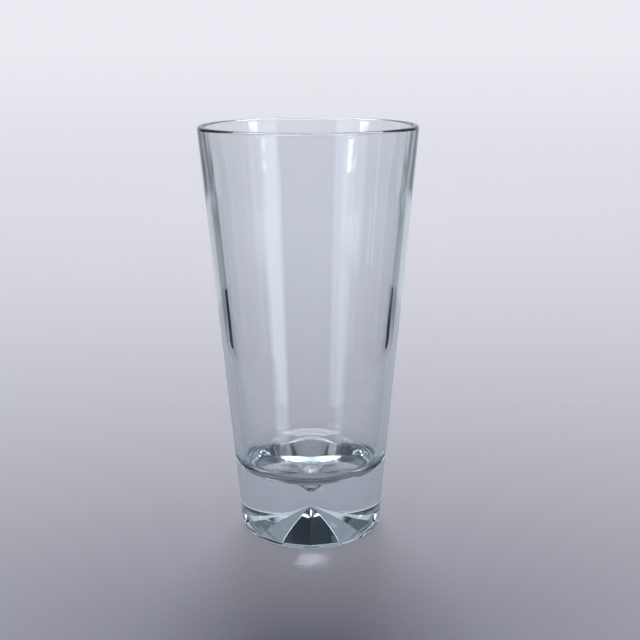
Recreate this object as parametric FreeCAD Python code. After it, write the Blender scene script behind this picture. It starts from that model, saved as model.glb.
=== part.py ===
"""Mixing glass for a two-piece shaker: one piece of thick pressed glass.

The frame has +Z up and its origin at the centre of the foot, on the table.
The body is a solid of revolution, with a faceted punt pressed up into the foot.
"""
import math
import os

import FreeCAD
import Part

# Driving dimensions, in millimetres.
HEIGHT = 173.5              # from the table to the top of the lip
RIM_RADIUS = 44.5           # outside of the wall, carried up to the top of the lip
FOOT_RADIUS = 30.2          # outside of the wall, carried down to the table
FOOT_ROUNDING = 2.2         # round edge between the foot and the wall

LIP_THICKNESS = 2.7         # glass at the very top
LIP_ROUNDING = 1.25         # round edges on both sides of the lip
LIP_DEPTH = 28.0            # how far down the lip thickens to the full wall
LIP_BLEND = 120.0           # radius that eases the lip into the wall
WALL_THICKNESS = 4.4        # glass below the lip, measured level

FLOOR_EDGE = 30.2           # height of the inside floor at the wall, from where it falls to the middle
CORNER_ROUNDING = 8.5       # between the wall and the floor, inside
DIMPLE_RADIUS = 4.4         # pit that the plunger's point leaves in the middle of the floor
DIMPLE_TOP = 24.2           # height of the floor where the pit begins
DIMPLE_BOTTOM = 19.9        # lowest point of the pit
DIMPLE_BLEND = 9.0          # round edge between the floor and the pit

PUNT_SIDES = 12             # flat sides of the hollow under the foot
PUNT_RADIUS = 21.3          # across its corners, from the axis, where it meets the table
PUNT_HEIGHT = 13.6          # its point, above the table
PUNT_OVERRUN = 1.0          # how far the cutting shape runs on below the table

WALL_SLOPE = (RIM_RADIUS - FOOT_RADIUS) / HEIGHT
FULL_TURN = 360.0


def outside_radius(height):
    """Outside of the straight, tapered wall at a height."""
    return FOOT_RADIUS + WALL_SLOPE * height


def inside_radius(height):
    """Inside of the wall at a height below the lip."""
    return outside_radius(height) - WALL_THICKNESS


def profile_corners():
    """Half section as (radius, height, rounding) corners, from the foot round to the pit."""
    shoulder = HEIGHT - LIP_DEPTH
    return [
        (0.0, 0.0, 0.0),
        (FOOT_RADIUS, 0.0, FOOT_ROUNDING),
        (RIM_RADIUS, HEIGHT, LIP_ROUNDING),
        (RIM_RADIUS - LIP_THICKNESS, HEIGHT, LIP_ROUNDING),
        (inside_radius(shoulder), shoulder, LIP_BLEND),
        (inside_radius(FLOOR_EDGE), FLOOR_EDGE, CORNER_ROUNDING),
        (DIMPLE_RADIUS, DIMPLE_TOP, DIMPLE_BLEND),
        (0.0, DIMPLE_BOTTOM, 0.0),
    ]


def unit(vector):
    """The vector at length one."""
    return vector * (1.0 / vector.Length)


def round_corner(before, corner, after, rounding):
    """Start, middle and end of the arc of this radius that rounds a corner."""
    inward = unit(before - corner)
    outward = unit(after - corner)
    half_angle = inward.getAngle(outward) / 2
    setback = rounding / math.tan(half_angle)
    middle_setback = rounding / math.sin(half_angle) - rounding
    middle = corner + unit(inward + outward) * middle_setback
    return corner + inward * setback, middle, corner + outward * setback


def rounded_wire(corners):
    """Closed wire in the XZ plane through (radius, height, rounding) corners."""
    points = [FreeCAD.Vector(radius, 0.0, height) for radius, height, _ in corners]
    edges = []
    starts, ends = [], []
    for index, (_, _, rounding) in enumerate(corners):
        corner = points[index]
        if rounding == 0.0:
            starts.append(corner)
            ends.append(corner)
            continue
        before, after = points[index - 1], points[(index + 1) % len(points)]
        start, middle, end = round_corner(before, corner, after, rounding)
        edges.append(Part.Arc(start, middle, end).toShape())
        starts.append(start)
        ends.append(end)
    for index, end in enumerate(ends):
        edges.append(Part.makeLine(end, starts[(index + 1) % len(starts)]))
    return Part.Wire(Part.__sortEdges__(edges))


def turned_body():
    """The glass before the punt is pressed into it."""
    section = Part.Face(rounded_wire(profile_corners()))
    return section.revolve(FreeCAD.Vector(0, 0, 0), FreeCAD.Vector(0, 0, 1), FULL_TURN)


def punt():
    """Many-sided pyramid that is pressed up into the foot, with a corner on each main axis."""
    scale = (PUNT_HEIGHT + PUNT_OVERRUN) / PUNT_HEIGHT
    reach = PUNT_RADIUS * scale
    step = 2 * math.pi / PUNT_SIDES
    ring = [
        FreeCAD.Vector(reach * math.cos(i * step), reach * math.sin(i * step), -PUNT_OVERRUN)
        for i in range(PUNT_SIDES)
    ]
    tip = FreeCAD.Vector(0, 0, PUNT_HEIGHT)
    faces = [Part.Face(Part.makePolygon(ring + ring[:1]))]
    for index, corner in enumerate(ring):
        neighbour = ring[(index + 1) % PUNT_SIDES]
        faces.append(Part.Face(Part.makePolygon([corner, neighbour, tip, corner])))
    return Part.makeSolid(Part.makeShell(faces))


def glass_body():
    """The whole mixing glass: wall, lip, thick foot and punt are one piece of glass."""
    return turned_body().cut(punt())


os.makedirs("parts", exist_ok=True)
glass_body().exportStep("parts/glass_body.step")
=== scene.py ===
"""Looks of the mixing glass: thick, clear pressed glass on pale grey paper."""
import math

import bpy
from mathutils import Matrix, Vector


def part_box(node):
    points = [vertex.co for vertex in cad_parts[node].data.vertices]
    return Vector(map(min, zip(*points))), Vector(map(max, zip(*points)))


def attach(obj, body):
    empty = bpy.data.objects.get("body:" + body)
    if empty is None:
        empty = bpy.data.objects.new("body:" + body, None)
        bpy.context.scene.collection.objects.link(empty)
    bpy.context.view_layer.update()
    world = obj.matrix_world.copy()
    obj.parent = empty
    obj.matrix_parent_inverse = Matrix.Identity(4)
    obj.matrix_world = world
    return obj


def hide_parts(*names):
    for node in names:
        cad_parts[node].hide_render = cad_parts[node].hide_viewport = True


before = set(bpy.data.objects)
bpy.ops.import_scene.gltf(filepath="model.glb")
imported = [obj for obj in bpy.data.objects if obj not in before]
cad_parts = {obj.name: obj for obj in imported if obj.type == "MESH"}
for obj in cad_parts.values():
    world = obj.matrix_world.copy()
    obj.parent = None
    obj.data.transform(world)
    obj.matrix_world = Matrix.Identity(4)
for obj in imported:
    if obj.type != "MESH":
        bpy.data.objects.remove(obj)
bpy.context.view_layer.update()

# The glass, in metres. The lowest and highest corners of the CAD part give its height and rim.
LOW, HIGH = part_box("glass_body")
HEIGHT = HIGH[2]
RIM_RADIUS = 0.0445         # outside of the wall, carried up to the top of the lip
FOOT_RADIUS = 0.0302        # outside of the wall, carried down to the table
FOOT_ROUNDING = 0.0022      # between the foot and the wall, outside
LIP_THICKNESS = 0.0027      # glass at the very top
LIP_ROUNDING = 0.00125      # on both sides of the lip
LIP_DEPTH = 0.028           # how far down the lip thickens to the full wall
LIP_BLEND = 0.12            # radius that eases the lip into the wall
WALL_THICKNESS = 0.0044     # below the lip, measured level
FLOOR_EDGE = 0.0302         # height of the inside floor at the wall, from where it falls to the middle
CORNER_ROUNDING = 0.0085    # between the wall and the floor, inside
DIMPLE_RADIUS = 0.0044      # pit that the plunger's point leaves in the middle of the floor
DIMPLE_TOP = 0.0242         # height of the floor where the pit begins
DIMPLE_BOTTOM = 0.0192      # where its sides would meet, below its rounded tip
DIMPLE_BLEND = 0.009        # rounding between the floor and the pit
DIMPLE_TIP = 0.00145        # rounding of its tip

PUNT_SIDES = 12             # flat sides of the hollow under the foot
PUNT_RADIUS = 0.0213        # across its corners, from the axis, where it meets the table
PUNT_HEIGHT = 0.0136        # where its ridges would meet, above its rounded point
PUNT_TIP = 0.002            # rounding of its point
PUNT_EDGE = 0.0029          # rounding between its sides and the flat of the foot
RIDGE_ROUNDING = 0.0009     # rounding between two of its sides
FOOT_FLAT = 0.026           # by this radius the flat of the foot is round again

RIDGE_STEPS = 3             # mesh columns on half of a rounded ridge
SIDE_STEPS = 18             # mesh columns on the flat between two ridges
ARC_STEP = math.radians(6)  # turn of the profile from one mesh ring to the next
LONGEST_RING = 0.004        # tallest stretch of profile between two rings
ON_AXIS = 1e-7              # points this close to the axis lie on it

# The surface and the colour of the glass. Lengths are in metres.
DRAW_WIDTH = 0.0035         # from one upright draw line to the next
DRAW_STRETCH = 0.03         # width of a line as a share of its length
DRAW_HEIGHT = 0.000012      # how far the lines stand out of the surface
DRAW_START = 0.035          # height from which the draw lines fade in
DRAW_FULL = 0.06
RIPPLE_WIDTH = 0.018        # from one slow wave to the next
RIPPLE_HEIGHT = 0.00001
BUBBLE_SPACING = 0.016
BUBBLE_RADIUS = 0.0004
BUBBLE_DEPTH = 0.00004
SCUFF_SIZE = 0.0012
SCUFF_EDGES = (0.35, 0.65)  # the scuffs show where their noise passes from the first to the second
WORN_HEIGHT = 0.0004        # the scuffs reach this far up the rounded edges of the foot
WORN_RADII = (0.0255, 0.0275)   # and begin between these distances from the axis
WORN_ROUGHNESS = 0.3
REFRACTION = 1.52
CAST_WIDTH = 0.03           # size of the patches of paler and deeper tint
TINT_PALE = (0.972, 0.988, 1.0)
TINT_DEEP = (0.958, 0.982, 1.0)
DEPTH_TINT = (0.2, 0.5, 0.63)   # colour that remains after a long way through the glass
DEPTH_DENSITY = 4.0
FACE_WEIGHT = 80            # how much the large faces lead when the shading is smoothed

WALL_SLOPE = (RIM_RADIUS - FOOT_RADIUS) / HEIGHT
PIECE = "glass_body"


def inside_radius(height):
    """Inside of the wall at a height below the lip."""
    return FOOT_RADIUS + WALL_SLOPE * height - WALL_THICKNESS


def profile_corners():
    """Half section as (radius, height, rounding), from the punt's tip round to the dimple."""
    shoulder = HEIGHT - LIP_DEPTH
    return [
        (0.0, PUNT_HEIGHT, PUNT_TIP),
        (PUNT_RADIUS, 0.0, PUNT_EDGE),
        (FOOT_RADIUS, 0.0, FOOT_ROUNDING),
        (RIM_RADIUS, HEIGHT, LIP_ROUNDING),
        (RIM_RADIUS - LIP_THICKNESS, HEIGHT, LIP_ROUNDING),
        (inside_radius(shoulder), shoulder, LIP_BLEND),
        (inside_radius(FLOOR_EDGE), FLOOR_EDGE, CORNER_ROUNDING),
        (DIMPLE_RADIUS, DIMPLE_TOP, DIMPLE_BLEND),
        (0.0, DIMPLE_BOTTOM, DIMPLE_TIP),
    ]


def arc_points(before, corner, after, rounding):
    """Points along the arc that rounds a corner."""
    inward = (before - corner).normalized()
    outward = (after - corner).normalized()
    half_angle = inward.angle(outward) / 2
    start = corner + inward * rounding / math.tan(half_angle)
    centre = corner + (inward + outward).normalized() * rounding / math.sin(half_angle)
    spoke = start - centre
    turn = math.pi - 2 * half_angle
    turn = math.copysign(turn, (corner - before).cross(after - corner))
    steps = max(2, math.ceil(abs(turn) / ARC_STEP))
    return [centre + Matrix.Rotation(turn * i / steps, 2) @ spoke for i in range(steps + 1)]


def profile_points():
    """The half section as evenly spaced points, with its first and last on the axis."""
    corners = profile_corners()
    places = [Vector((radius, height)) for radius, height, _ in corners]
    mirrored = [Vector((-places[1].x, places[1].y))] + places + [Vector((-places[-2].x, places[-2].y))]
    points = []
    for index, (_, _, rounding) in enumerate(corners):
        arc = arc_points(mirrored[index], mirrored[index + 1], mirrored[index + 2], rounding)
        arc = [point for point in arc if point.x > -ON_AXIS]
        if points:
            gap = arc[0] - points[-1]
            steps = math.ceil(gap.length / LONGEST_RING)
            start = points[-1]
            points += [start + gap * i / steps for i in range(1, steps)]
        points += arc
    return points


def ridge_turn(corner_radius):
    """Angle from a ridge of the punt to where its rounding ends, and the ridge's arc centre."""
    half = math.pi / PUNT_SIDES
    apothem = corner_radius * math.cos(half)
    rounding = min(RIDGE_ROUNDING, apothem)
    centre = (apothem - rounding) / math.cos(half)
    turn = math.atan2(rounding * math.sin(half), centre + rounding * math.cos(half))
    return turn, centre, rounding, apothem


def side_angles(turn):
    """Angles of the mesh columns from one ridge up to the next, which isn't included."""
    whole = 2 * math.pi / PUNT_SIDES
    flat = whole - 2 * turn
    angles = [turn * i / RIDGE_STEPS for i in range(RIDGE_STEPS)]
    angles += [turn + flat * i / SIDE_STEPS for i in range(SIDE_STEPS)]
    angles += [whole - turn + turn * i / RIDGE_STEPS for i in range(RIDGE_STEPS)]
    return angles


def ring(corner_radius, height, faceted):
    """One closed ring of the mesh: a rounded polygon in the punt, and a circle elsewhere."""
    half = math.pi / PUNT_SIDES
    turn, centre, rounding, apothem = ridge_turn(corner_radius if faceted else PUNT_RADIUS)
    points = []
    for side in range(PUNT_SIDES):
        for angle in side_angles(turn):
            radius = corner_radius
            if faceted:
                from_ridge = min(angle, 2 * half - angle)
                if from_ridge < turn:
                    across = centre * math.sin(from_ridge)
                    radius = centre * math.cos(from_ridge) + math.sqrt(rounding ** 2 - across ** 2)
                else:
                    radius = apothem / math.cos(half - from_ridge)
            azimuth = side * 2 * half + angle
            points.append((radius * math.cos(azimuth), radius * math.sin(azimuth), height))
    return points


def glass_mesh():
    """The closed skin of the glass: rings from the punt's tip, round the lip, to the dimple."""
    outline = profile_points()
    inner = outline[1:-1]
    vertices = [(0.0, 0.0, outline[0].y)]
    in_punt = True
    for place in inner:
        if place.x > FOOT_FLAT:
            in_punt = False
        vertices += ring(place.x, place.y, in_punt)
    vertices.append((0.0, 0.0, outline[-1].y))

    columns = PUNT_SIDES * (SIDE_STEPS + 2 * RIDGE_STEPS)
    last = len(vertices) - 1
    faces = []
    for column in range(columns):
        beside = (column + 1) % columns
        faces.append((0, 1 + beside, 1 + column))
        for row in range(len(inner) - 1):
            start = 1 + row * columns
            above = start + columns
            faces.append((start + column, start + beside, above + beside, above + column))
        start = 1 + (len(inner) - 1) * columns
        faces.append((last, start + column, start + beside))
    mesh = bpy.data.meshes.new(PIECE + "_skin")
    mesh.from_pydata(vertices, [], faces)
    mesh.polygons.foreach_set("use_smooth", [True] * len(mesh.polygons))
    mesh.update()
    return mesh


class Nodes:
    """Short ways to add nodes to one tree and wire them up."""

    def __init__(self, tree):
        self.tree = tree

    def add(self, kind, **settings):
        node = self.tree.nodes.new("ShaderNode" + kind)
        for name, value in settings.items():
            setattr(node, name, value)
        return node

    def put(self, socket, value):
        """Wires a socket into another, or sets it to a number."""
        if isinstance(value, bpy.types.NodeSocket):
            self.tree.links.new(value, socket)
        else:
            socket.default_value = value

    def math(self, operation, first, second=0.0):
        node = self.add("Math", operation=operation)
        self.put(node.inputs[0], first)
        self.put(node.inputs[1], second)
        return node.outputs[0]

    def step(self, value, start, end):
        """0 before start, 1 after end, and a smooth rise between them."""
        node = self.add("MapRange", interpolation_type="SMOOTHSTEP")
        self.put(node.inputs["Value"], value)
        self.put(node.inputs["From Min"], start)
        self.put(node.inputs["From Max"], end)
        return node.outputs["Result"]

    def band(self, value, low, high, soft):
        """1 between low and high, falling smoothly to 0 outside them."""
        rise = self.step(value, self.math("SUBTRACT", low, soft), self.math("ADD", low, soft))
        fall = self.step(value, self.math("ADD", high, soft), self.math("SUBTRACT", high, soft))
        return self.both(rise, fall)

    def mix(self, factor, first, second):
        node = self.add("Mix", data_type="RGBA")
        self.put(node.inputs["Factor"], factor)
        self.put(node.inputs[6], first)
        self.put(node.inputs[7], second)
        return node.outputs[2]

    def either(self, first, second):
        return self.math("MAXIMUM", first, second)

    def both(self, first, second):
        return self.math("MULTIPLY", first, second)

    def less(self, value, limit):
        return self.math("LESS_THAN", value, limit)

    def azimuth(self, x, y):
        return self.math("DEGREES", self.math("ARCTAN2", x, y))

    def mirrored(self):
        """1 where the glass has mirrored the ray, and 0 where it only passed through or lights the paper."""
        path = self.add("LightPath").outputs
        in_glass = self.math("GREATER_THAN", path["Glossy Depth"], 0.5)
        return self.both(in_glass, self.less(path["Diffuse Depth"], 0.5))


def pressed_surface(n, place):
    """Surface of pressed glass: fine upright draw lines, a slow ripple and a few burst bubbles."""
    stretch = n.add("Mapping")
    n.put(stretch.inputs["Vector"], place)
    stretch.inputs["Scale"].default_value = (1, 1, DRAW_STRETCH)
    lines = n.add("TexNoise")
    n.put(lines.inputs["Vector"], stretch.outputs[0])
    lines.inputs["Scale"].default_value = 1 / DRAW_WIDTH
    lines.inputs["Detail"].default_value = 1
    ripple = n.add("TexNoise")
    n.put(ripple.inputs["Vector"], place)
    ripple.inputs["Scale"].default_value = 1 / RIPPLE_WIDTH
    ripple.inputs["Detail"].default_value = 0
    cells = n.add("TexVoronoi")
    n.put(cells.inputs["Vector"], place)
    cells.inputs["Scale"].default_value = 1 / BUBBLE_SPACING
    pit = n.step(cells.outputs["Distance"], BUBBLE_RADIUS / BUBBLE_SPACING, 0)
    axes = n.add("SeparateXYZ")
    n.put(axes.inputs[0], place)
    drawn = n.both(lines.outputs["Fac"], n.step(axes.outputs["Z"], DRAW_START, DRAW_FULL))
    height = n.math("MULTIPLY", drawn, DRAW_HEIGHT)
    height = n.math("ADD", height, n.math("MULTIPLY", ripple.outputs["Fac"], RIPPLE_HEIGHT))
    height = n.math("SUBTRACT", height, n.math("MULTIPLY", pit, BUBBLE_DEPTH))
    bump = n.add("Bump")
    bump.inputs["Strength"].default_value = 1
    bump.inputs["Distance"].default_value = 1
    n.put(bump.inputs["Height"], height)
    return bump.outputs[0]


def foot_wear(n, place):
    """Roughness: none, except for scuffs on the outer part of the ring that the glass stands on."""
    axes = n.add("SeparateXYZ")
    n.put(axes.inputs[0], place)
    scuffs = n.add("TexNoise")
    n.put(scuffs.inputs["Vector"], place)
    scuffs.inputs["Scale"].default_value = 1 / SCUFF_SIZE
    scuffs.inputs["Detail"].default_value = 4
    radius = n.add("VectorMath", operation="LENGTH")
    n.put(radius.inputs[0], place)
    edge = n.both(n.step(axes.outputs["Z"], WORN_HEIGHT, 0), n.step(radius.outputs["Value"], *WORN_RADII))
    worn = n.both(edge, n.step(scuffs.outputs["Fac"], *SCUFF_EDGES))
    return n.math("MULTIPLY", worn, WORN_ROUGHNESS)


def clear_glass():
    """Clear soda-lime glass, with a faint blue-green in its depth."""
    material = bpy.data.materials.new("clear_glass")
    material.use_nodes = True
    n = Nodes(material.node_tree)
    shader = material.node_tree.nodes["Principled BSDF"]
    shader.inputs["IOR"].default_value = REFRACTION
    shader.inputs["Transmission Weight"].default_value = 1.0
    place = n.add("TexCoord").outputs["Object"]
    cast = n.add("TexNoise")
    n.put(cast.inputs["Vector"], place)
    cast.inputs["Scale"].default_value = 1 / CAST_WIDTH
    n.put(shader.inputs["Base Color"], n.mix(cast.outputs["Fac"], (*TINT_PALE, 1), (*TINT_DEEP, 1)))
    n.put(shader.inputs["Roughness"], foot_wear(n, place))
    n.put(shader.inputs["Normal"], pressed_surface(n, place))
    depth = n.add("VolumeAbsorption")
    depth.inputs["Color"].default_value = (*DEPTH_TINT, 1)
    depth.inputs["Density"].default_value = DEPTH_DENSITY
    n.put(material.node_tree.nodes["Material Output"].inputs["Volume"], depth.outputs["Volume"])
    return material


def glass():
    """The one piece of the object."""
    piece = bpy.data.objects.new("pressed_glass", glass_mesh())
    bpy.context.scene.collection.objects.link(piece)
    piece.data.materials.append(clear_glass())
    normals = piece.modifiers.new("normals", "WEIGHTED_NORMAL")
    normals.weight = FACE_WEIGHT
    normals.keep_sharp = False
    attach(piece, "root")
    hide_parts("glass_body")
    return piece


# The studio. Lengths are in metres, and angles in degrees: azimuth 0 is straight behind the glass and
# 90 is to its right. The glass stands on grey paper, in a pale tent that the paper melts into with distance:
# painted shade, which leaves the paper darkest just in front of the glass.
MOST_BOUNCES = 32           # enough for light to find its way out of the thick foot
MOST_MIRRORINGS = 16
TABLE_REACH = 40.0
PAPER = (0.28, 0.286, 0.355)
PAPER_ROUGHNESS = 0.95
PAPER_SHEEN = 0.1
PEBBLE_SIZE = 0.002
PEBBLE_HEIGHT = 0.0005
# Painted shade on the paper: round this centre it keeps its grey, and farther off it melts into the pale
# tent, so it is darkest just in front of the glass and paler with distance.
SHADE_POOL_CENTRE = (0.0, -0.10, 0.0)
SHADE_POOL_REACH = 0.27           # this far from the centre of the painted shade the paper is half melted into the tent
SHADE_POOL_SQUEEZE = 0.6          # sideways, distances count for this share only
TENT_LOW = (0.83, 0.83, 0.89)
TENT_HIGH = (0.42, 0.42, 0.44)
TENT_TOP = (0.04, 0.045, 0.045)
TENT_FADE = (4, 40)         # elevations between which the tent goes from its low to its high tone
TENT_ROOF = (56, 60)        # and from that to its top

KEY_LAMP = (0.0, 0.9, 0.95)
KEY_SIZE = (0.5, 0.35)
KEY_POWER = 7.6
FOCUS = (0.001, -0.037, 0.0)
FOCUS_LAMP = (0.001, -0.16, 0.3)
FOCUS_SIZE = (0.004, 0.004)
FOCUS_SPREAD = math.radians(3.2)
FOCUS_POWER = 0.0004

CAMERA = (0.00438, -0.4, 0.20193)
CAMERA_LENS = 55.14         # millimetres, on a sensor 36 mm wide
CAMERA_SENSOR = 36.0
CAMERA_DOWN = math.radians(15.35)   # how far it looks down
CAMERA_ROLL = math.radians(-0.27)

# What the glass mirrors, outside and inside, is painted reflection: a small table with black cloth beside
# it, in a darker room with soft boxes, all seen only by rays that the glass has mirrored, while the camera
# and the light on the paper see the paper and the pale tent.
SHEET_HALF = 0.2            # half width of the table, on both sides of which lies black cloth that only the glass mirrors: painted dark reflection
SHEET_FAN = 50.0            # farther off, the table is seen up to this azimuth
DARK_REFLECTION_START = 0.09          # the painted black cloth lies between these distances from the axis
DARK_REFLECTION_END = 0.38
DARK_REFLECTION_FAN = 118.0           # the painted black cloth ends at this azimuth, and leaves the front open


def paper():
    """Matt pebbled paper with painted shade: it melts into the tent with distance, so it is darkest just in
    front of the glass. The glass mirrors it as a small table with black cloth beside it, a painted dark
    reflection.
    """
    material = bpy.data.materials.new("paper")
    material.use_nodes = True
    n = Nodes(material.node_tree)
    shader = material.node_tree.nodes["Principled BSDF"]
    shader.inputs["Roughness"].default_value = PAPER_ROUGHNESS
    shader.inputs["Specular IOR Level"].default_value = PAPER_SHEEN
    place = n.add("TexCoord").outputs["Object"]
    axes = n.add("SeparateXYZ")
    n.put(axes.inputs[0], place)
    # Painted shade: the paper melts into the tent with its distance from a point just in front of the glass.
    squeezed = n.add("VectorMath", operation="MULTIPLY")
    n.put(squeezed.inputs[0], place)
    squeezed.inputs[1].default_value = (SHADE_POOL_SQUEEZE, 1, 1)
    gap = n.add("VectorMath", operation="DISTANCE")
    n.put(gap.inputs[0], squeezed.outputs[0])
    gap.inputs[1].default_value = SHADE_POOL_CENTRE
    shade_pool_melt = n.math("DIVIDE", gap.outputs["Value"], n.math("ADD", gap.outputs["Value"], SHADE_POOL_REACH))

    # Painted reflections: in what the glass mirrors, the paper ends in a small table with black cloth beside
    # it, and beyond that lies the open room.
    radius = n.add("VectorMath", operation="LENGTH")
    n.put(radius.inputs[0], place)
    radius = radius.outputs["Value"]
    turn = n.math("ABSOLUTE", n.azimuth(axes.outputs["X"], axes.outputs["Y"]))
    near = n.less(n.math("ABSOLUTE", axes.outputs["X"]), SHEET_HALF)
    sheet = n.either(near, n.less(turn, SHEET_FAN))
    beside = n.both(n.less(turn, DARK_REFLECTION_FAN), n.less(radius, DARK_REFLECTION_END))
    close = n.less(radius, DARK_REFLECTION_START)
    table = n.either(close, n.both(beside, sheet))
    dark_reflection = n.both(n.both(beside, n.math("SUBTRACT", 1.0, table)), n.mirrored())
    open_room = n.both(n.math("SUBTRACT", 1.0, n.either(close, beside)), n.mirrored())

    # The painted black cloth: for mirrored rays only, the paper's colour goes to black there.
    tint = n.add("VectorMath", operation="SCALE")
    tint.inputs[0].default_value = PAPER
    n.put(tint.inputs["Scale"], n.math("SUBTRACT", 1.0, dark_reflection))
    n.put(shader.inputs["Base Color"], tint.outputs[0])
    # The paper turns transparent as it melts, which paints its shade; under the painted black cloth it
    # stays, and where the glass sees the open room it goes.
    gone = n.add("BsdfTransparent")
    mix = n.add("MixShader")
    n.put(mix.inputs[0], n.either(n.both(shade_pool_melt, n.math("SUBTRACT", 1.0, dark_reflection)), open_room))
    n.put(mix.inputs[1], shader.outputs[0])
    n.put(mix.inputs[2], gone.outputs[0])
    n.put(material.node_tree.nodes["Material Output"].inputs["Surface"], mix.outputs[0])

    pebbles = n.add("TexNoise")
    n.put(pebbles.inputs["Vector"], place)
    pebbles.inputs["Scale"].default_value = 1 / PEBBLE_SIZE
    pebbles.inputs["Detail"].default_value = 3
    bump = n.add("Bump")
    bump.inputs["Strength"].default_value = 1.0
    bump.inputs["Distance"].default_value = PEBBLE_HEIGHT
    n.put(bump.inputs["Height"], pebbles.outputs["Fac"])
    n.put(shader.inputs["Normal"], bump.outputs[0])
    return material


def table():
    """One wide flat sheet of paper that runs out to the horizon."""
    mesh = bpy.data.meshes.new("table")
    reach = TABLE_REACH
    corners = [(-reach, -reach, 0), (reach, -reach, 0), (reach, reach, 0), (-reach, reach, 0)]
    mesh.from_pydata(corners, [], [(0, 1, 2, 3)])
    mesh.materials.append(paper())
    top = bpy.data.objects.new("table", mesh)
    bpy.context.scene.collection.objects.link(top)


def area_light(name, place, target, size, power, spread=math.pi):
    """A soft rectangular light that faces a point."""
    light = bpy.data.lights.new(name, "AREA")
    light.shape = "RECTANGLE"
    light.size, light.size_y = size
    light.energy = power
    light.spread = spread
    lamp = bpy.data.objects.new(name, light)
    lamp.location = place
    lamp.rotation_euler = (Vector(target) - Vector(place)).to_track_quat("-Z", "Y").to_euler()
    lamp.visible_glossy = False
    lamp.visible_transmission = False
    bpy.context.scene.collection.objects.link(lamp)


# Panels of light in that room, painted reflections that light nothing: azimuths, elevations, softness of the
# edges, brightness. The first list is given for the right, from azimuth 0 to 180, and stands on the left
# too.
BOTH_SIDES = [
    (-30, 32, -95, 52, 3, 0.60),
    (32, 58, -95, -18, 2, 0.60),
    (32, 58, -18, -12, 2, 0.28),
    (32, 40, -14, 52, 1.5, 0.27),
    (47, 57, -13, 52, 1, 0.36),
    (56, 108, 7, 38, 4, 0.14),
    (50, 88, 45, 57, 2, 3.00),
]
ONE_SIDE = [
    (-147, -129, -60, 24, 1.5, 1.30),
    (-132, -117, -20, 24, 2, 0.90),
    (-110.5, -108.5, -20, 24, 0.7, 0.60),
    (131, 142, -60, -20, 2, 0.65),
    (117, 142, -20, 24, 2, 1.10),
    (100, 103, -20, 24, 0.7, 0.90),
    (-129, -122, 2.5, 9, 0.7, 9.0),
    (118, 123, 5, 9, 0.7, 6.0),
]
# Painted highlights: these stand on both sides too, but are seen only by rays mirrored a given number of
# times, so that they light up only the places named.
INNER_HIGHLIGHT_STRIP = (128, 190, -22, -4, 1.5, 6.0)     # painted highlight, mirrored three times or more: at the inside floor
LIP_HIGHLIGHT_STRIPS = [                                  # painted highlights, mirrored once: mostly at the lip
    (115, 190, 34, 76, 3, 6.0),
    (-20, 19, 13, 26, 2, 1.3),
    (116, 123, 3.0, 4.2, 0.5, 5.0),
]
SKIN_HIGHLIGHT_STRIPS = [                                 # painted highlights, mirrored by the skin, without entering the glass
    (-20, 80, 46, 66, 3, 9.0),
    (105, 117, 9.2, 12, 0.8, 9.0),
]
# Tones of the painted reflections: of the panels, and of the dark room to the left and to the right of the
# glass.
PANEL_TONE = (0.95, 1.0, 1.08)
ROOM_LEFT = (0.013, 0.019, 0.023)
ROOM_RIGHT = (0.052, 0.070, 0.085)
ROOM_SEAM = (-3, 3)         # azimuths between which the left tone passes into the right one


def panel(n, azimuth, elevation, place):
    """Light of one panel of the room towards a direction: a painted reflection."""
    first, last, low, high, soft, brightness = place
    return n.both(n.both(n.band(azimuth, first, last, soft), n.band(elevation, low, high, soft)), brightness)


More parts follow.
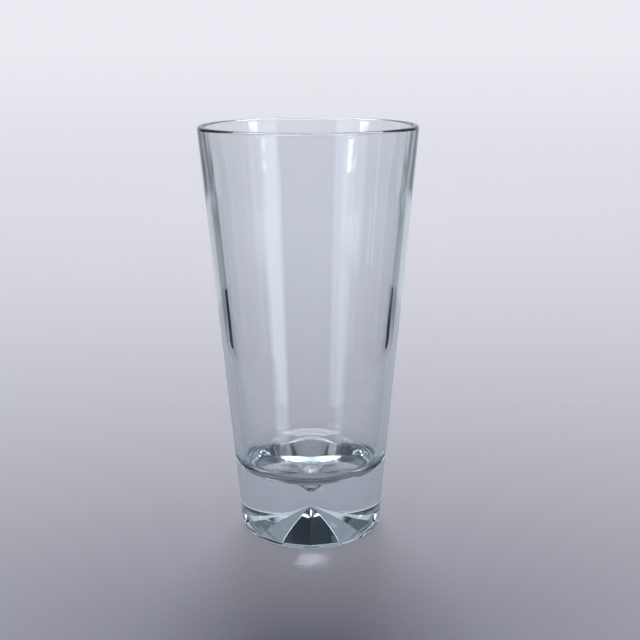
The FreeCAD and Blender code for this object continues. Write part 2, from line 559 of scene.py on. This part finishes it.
def room():
    """The pale tent all round; for rays that the glass has mirrored, the darker room instead: painted
    reflections and highlights, which light nothing.
    """
    world = bpy.data.worlds.new("room")
    world.use_nodes = True
    world.cycles.sampling_method = "NONE"
    bpy.context.scene.world = world
    n = Nodes(world.node_tree)
    background = world.node_tree.nodes["Background"]
    axes = n.add("SeparateXYZ")
    n.put(axes.inputs[0], n.add("TexCoord").outputs["Generated"])
    elevation = n.math("DEGREES", n.math("ARCSINE", axes.outputs["Z"]))
    azimuth = n.azimuth(axes.outputs["X"], axes.outputs["Y"])
    turn = n.math("ABSOLUTE", azimuth)

    # Painted highlights, each seen only by rays mirrored a given number of times, or only by the skin.
    path = n.add("LightPath").outputs
    often = n.math("GREATER_THAN", path["Glossy Depth"], 2.5)
    light = n.both(often, panel(n, turn, elevation, INNER_HIGHLIGHT_STRIP))
    once = n.less(path["Glossy Depth"], 1.5)
    for place in LIP_HIGHLIGHT_STRIPS:
        light = n.either(light, n.both(once, panel(n, turn, elevation, place)))
    skin = n.less(path["Transmission Depth"], 0.5)
    for place in SKIN_HIGHLIGHT_STRIPS:
        light = n.either(light, n.both(skin, panel(n, turn, elevation, place)))
    for place in BOTH_SIDES:
        light = n.either(light, panel(n, turn, elevation, place))
    for place in ONE_SIDE:
        light = n.either(light, panel(n, azimuth, elevation, place))
    # The dark room of the painted reflections, a little lighter on the right.
    dim = n.mix(n.step(azimuth, *ROOM_SEAM), (*ROOM_LEFT, 1), (*ROOM_RIGHT, 1))
    lit = n.add("VectorMath", operation="ADD")
    tone = n.add("VectorMath", operation="SCALE")
    tone.inputs[0].default_value = PANEL_TONE
    n.put(tone.inputs["Scale"], light)
    n.put(lit.inputs[0], dim)
    n.put(lit.inputs[1], tone.outputs[0])

    tent = n.mix(n.step(elevation, *TENT_FADE), (*TENT_LOW, 1), (*TENT_HIGH, 1))
    tent = n.mix(n.step(elevation, *TENT_ROOF), tent, (*TENT_TOP, 1))
    n.put(background.inputs["Color"], n.mix(n.mirrored(), tent, lit.outputs[0]))


def studio():
    """The room, a soft light behind the glass that throws its shadow forward, and a small light on the
    paper in the place where such a foot gathers the light that falls through it."""
    room()
    area_light("key", KEY_LAMP, (0, 0, 0), KEY_SIZE, KEY_POWER)
    area_light("focus", FOCUS_LAMP, FOCUS, FOCUS_SIZE, FOCUS_POWER, FOCUS_SPREAD)


def camera():
    """Level with the upper half of the glass and looking down at it."""
    view = bpy.data.cameras.new("camera")
    view.sensor_width = CAMERA_SENSOR
    view.lens = CAMERA_LENS
    eye = bpy.data.objects.new("camera", view)
    tilt = math.radians(90) - CAMERA_DOWN
    turn = Matrix.Rotation(tilt, 4, "X") @ Matrix.Rotation(CAMERA_ROLL, 4, "Z")
    eye.matrix_world = Matrix.Translation(CAMERA) @ turn
    bpy.context.scene.collection.objects.link(eye)
    bpy.context.scene.camera = eye


camera()
table()
studio()
glass()

scene = bpy.context.scene
scene.view_settings.view_transform = "Standard"
scene.cycles.max_bounces = MOST_BOUNCES
scene.cycles.transmission_bounces = MOST_BOUNCES
scene.cycles.glossy_bounces = MOST_MIRRORINGS
